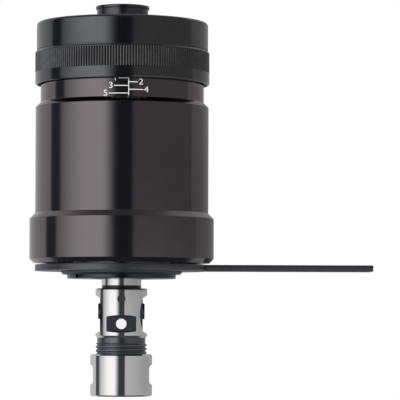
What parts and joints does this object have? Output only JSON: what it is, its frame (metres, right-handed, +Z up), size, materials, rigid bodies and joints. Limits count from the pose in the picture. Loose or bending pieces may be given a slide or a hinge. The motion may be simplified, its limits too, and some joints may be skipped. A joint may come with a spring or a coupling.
{
  "type": "tapping head",
  "caption": "Self-reversing tapping head: tapered drive socket, knurled torque cap, anodised housing, stop arm, spindle nose with jaws and collet nut",
  "frame": {"origin": "centre of the taper socket's mouth, on the spindle axis", "axes": "+Z up along the spindle axis, out of the socket; +X along the stop arm"},
  "size_m": [0.1391, 0.0748, 0.1584],
  "materials": {
    "black_anodised": "blue-black anodised aluminium, satin",
    "brown_anodised": "purple-brown black anodised aluminium, satin",
    "black_oxide": "black oxide on steel",
    "ground_steel": "bright ground steel",
    "hard_steel": "hardened steel",
    "spring_steel": "oil-tempered spring steel",
    "bearing_steel": "polished bearing steel",
    "bronze": "sintered bronze",
    "friction_lining": "bonded friction lining",
    "seal_rubber": "black nitrile rubber"
  },
  "bodies": {
    "hub": {"drive_hub": "black_oxide", "hub_bearing_inner": "bearing_steel", "hub_snap_ring": "spring_steel", "upper_float_spring": "spring_steel"},
    "hub_cage": {"hub_bearing_balls": "bearing_steel", "hub_bearing_cage": "bronze"},
    "housing": {"housing": "brown_anodised", "pressure_plate": "hard_steel", "friction_disc_upper": "friction_lining", "friction_disc_lower": "friction_lining", "hub_bearing_outer": "bearing_steel", "forward_cone": "hard_steel", "spacer_sleeve": "hard_steel", "ring_gear": "hard_steel", "main_bearing_outer": "bearing_steel", "bearing_retaining_ring": "spring_steel", "clutch_spring": "spring_steel"},
    "cap_slide": {"thrust_race": "hard_steel"},
    "cap": {"torque_cap": "black_anodised"},
    "carrier": {"planet_carrier": "hard_steel", "planet_pins": "hard_steel", "main_bearing_inner": "bearing_steel", "spindle_bush": "bronze", "stop_plate": "black_oxide", "clamp_disc": "black_oxide", "seal_retainer": "black_oxide", "shaft_seal": "seal_rubber", "cover_screws": "black_oxide"},
    "main_cage": {"main_bearing_balls": "bearing_steel", "main_bearing_cage": "bronze"},
    "sun": {"sun_gear": "hard_steel", "lower_float_spring": "spring_steel"},
    "planet_1": {"planet_1": "hard_steel"},
    "planet_2": {"planet_2": "hard_steel"},
    "planet_3": {"planet_3": "hard_steel"},
    "float_seats": {"upper_spring_seat": "hard_steel", "lower_spring_seat": "hard_steel"},
    "spindle": {"tap_spindle": "ground_steel", "clutch_cone": "friction_lining", "cone_pin": "hard_steel", "chuck_nose": "ground_steel", "nose_set_screw": "black_oxide", "front_pin": "ground_steel"},
    "jaw_left": {"jaw_left": "black_oxide"},
    "jaw_screw_left": {"jaw_screw_left": "black_oxide"},
    "jaw_right": {"jaw_right": "black_oxide"},
    "jaw_screw_right": {"jaw_screw_right": "black_oxide"},
    "collet": {"tap_collet": "seal_rubber", "collet_blades": "hard_steel"},
    "nut": {"collet_nut": "ground_steel"}
  },
  "joints": [
    {"name": "clutch_slip", "type": "hinge", "parent": "hub", "child": "housing", "pos_m": [0, 0, 0], "axis": [0, 0, 1], "continuous": true},
    {"name": "hub_cage_turn", "type": "hinge", "parent": "hub", "child": "hub_cage", "pos_m": [0, 0, 0], "axis": [0, 0, 1], "continuous": true},
    {"name": "cap_travel", "type": "slide", "parent": "housing", "child": "cap_slide", "axis": [0, 0, 1], "range_m": [-0.006, 0], "deforming": ["clutch_spring"]},
    {"name": "cap_turn", "type": "hinge", "parent": "cap_slide", "child": "cap", "pos_m": [0, 0, 0], "axis": [0, 0, 1], "range_deg": [-1440, 0]},
    {"name": "stop_arm_turn", "type": "hinge", "parent": "housing", "child": "carrier", "pos_m": [0, 0, 0], "axis": [0, 0, 1], "continuous": true},
    {"name": "main_cage_turn", "type": "hinge", "parent": "housing", "child": "main_cage", "pos_m": [0, 0, 0], "axis": [0, 0, 1], "continuous": true},
    {"name": "sun_turn", "type": "hinge", "parent": "housing", "child": "sun", "pos_m": [0, 0, 0], "axis": [0, 0, 1], "continuous": true},
    {"name": "planet_1_turn", "type": "hinge", "parent": "carrier", "child": "planet_1", "pos_m": [0, 0.021, 0], "axis": [0, 0, 1], "continuous": true},
    {"name": "planet_2_turn", "type": "hinge", "parent": "carrier", "child": "planet_2", "pos_m": [-0.01819, -0.0105, 0], "axis": [0, 0, 1], "continuous": true},
    {"name": "planet_3_turn", "type": "hinge", "parent": "carrier", "child": "planet_3", "pos_m": [0.01819, -0.0105, 0], "axis": [0, 0, 1], "continuous": true},
    {"name": "spindle_float", "type": "slide", "parent": "housing", "child": "float_seats", "axis": [0, 0, 1], "range_m": [-0.004, 0.0025], "stiffness_N_per_m": 6000, "springref_m": 0.00045, "deforming": ["upper_float_spring", "lower_float_spring"]},
    {"name": "spindle_spin", "type": "hinge", "parent": "float_seats", "child": "spindle", "pos_m": [0, 0, 0], "axis": [0, 0, 1], "continuous": true},
    {"name": "jaw_left_travel", "type": "slide", "parent": "spindle", "child": "jaw_left", "axis": [-1, 0, 0], "range_m": [-0.0015, 0.001]},
    {"name": "jaw_screw_left_turn", "type": "hinge", "parent": "jaw_left", "child": "jaw_screw_left", "pos_m": [0, 0, -0.124], "axis": [-1, 0, 0], "range_deg": [-720, 480]},
    {"name": "jaw_right_travel", "type": "slide", "parent": "spindle", "child": "jaw_right", "axis": [1, 0, 0], "range_m": [-0.0015, 0.001]},
    {"name": "jaw_screw_right_turn", "type": "hinge", "parent": "jaw_right", "child": "jaw_screw_right", "pos_m": [0, 0, -0.124], "axis": [1, 0, 0], "range_deg": [-720, 480]},
    {"name": "collet_draw", "type": "slide", "parent": "spindle", "child": "collet", "axis": [0, 0, 1], "range_m": [-0.00476, 0]},
    {"name": "nut_turn", "type": "hinge", "parent": "collet", "child": "nut", "pos_m": [0, 0, 0], "axis": [0, 0, 1], "range_deg": [-1080, 0]}
  ],
  "couplings": [
    {"joint": "hub_cage_turn", "follows": "clutch_slip", "ratio": 0.6},
    {"joint": "cap_turn", "follows": "cap_travel", "rad_per_m": 4188.8},
    {"joint": "main_cage_turn", "follows": "stop_arm_turn", "ratio": 0.466},
    {"joint": "sun_turn", "follows": "stop_arm_turn", "ratio": 2.8},
    {"joint": "planet_1_turn", "follows": "stop_arm_turn", "ratio": -4.5},
    {"joint": "planet_2_turn", "follows": "stop_arm_turn", "ratio": -4.5},
    {"joint": "planet_3_turn", "follows": "stop_arm_turn", "ratio": -4.5},
    {"joint": "jaw_screw_left_turn", "follows": "jaw_left_travel", "rad_per_m": 8377.6},
    {"joint": "jaw_screw_right_turn", "follows": "jaw_right_travel", "rad_per_m": 8377.6},
    {"joint": "nut_turn", "follows": "collet_draw", "rad_per_m": 3957.9}
  ]
}
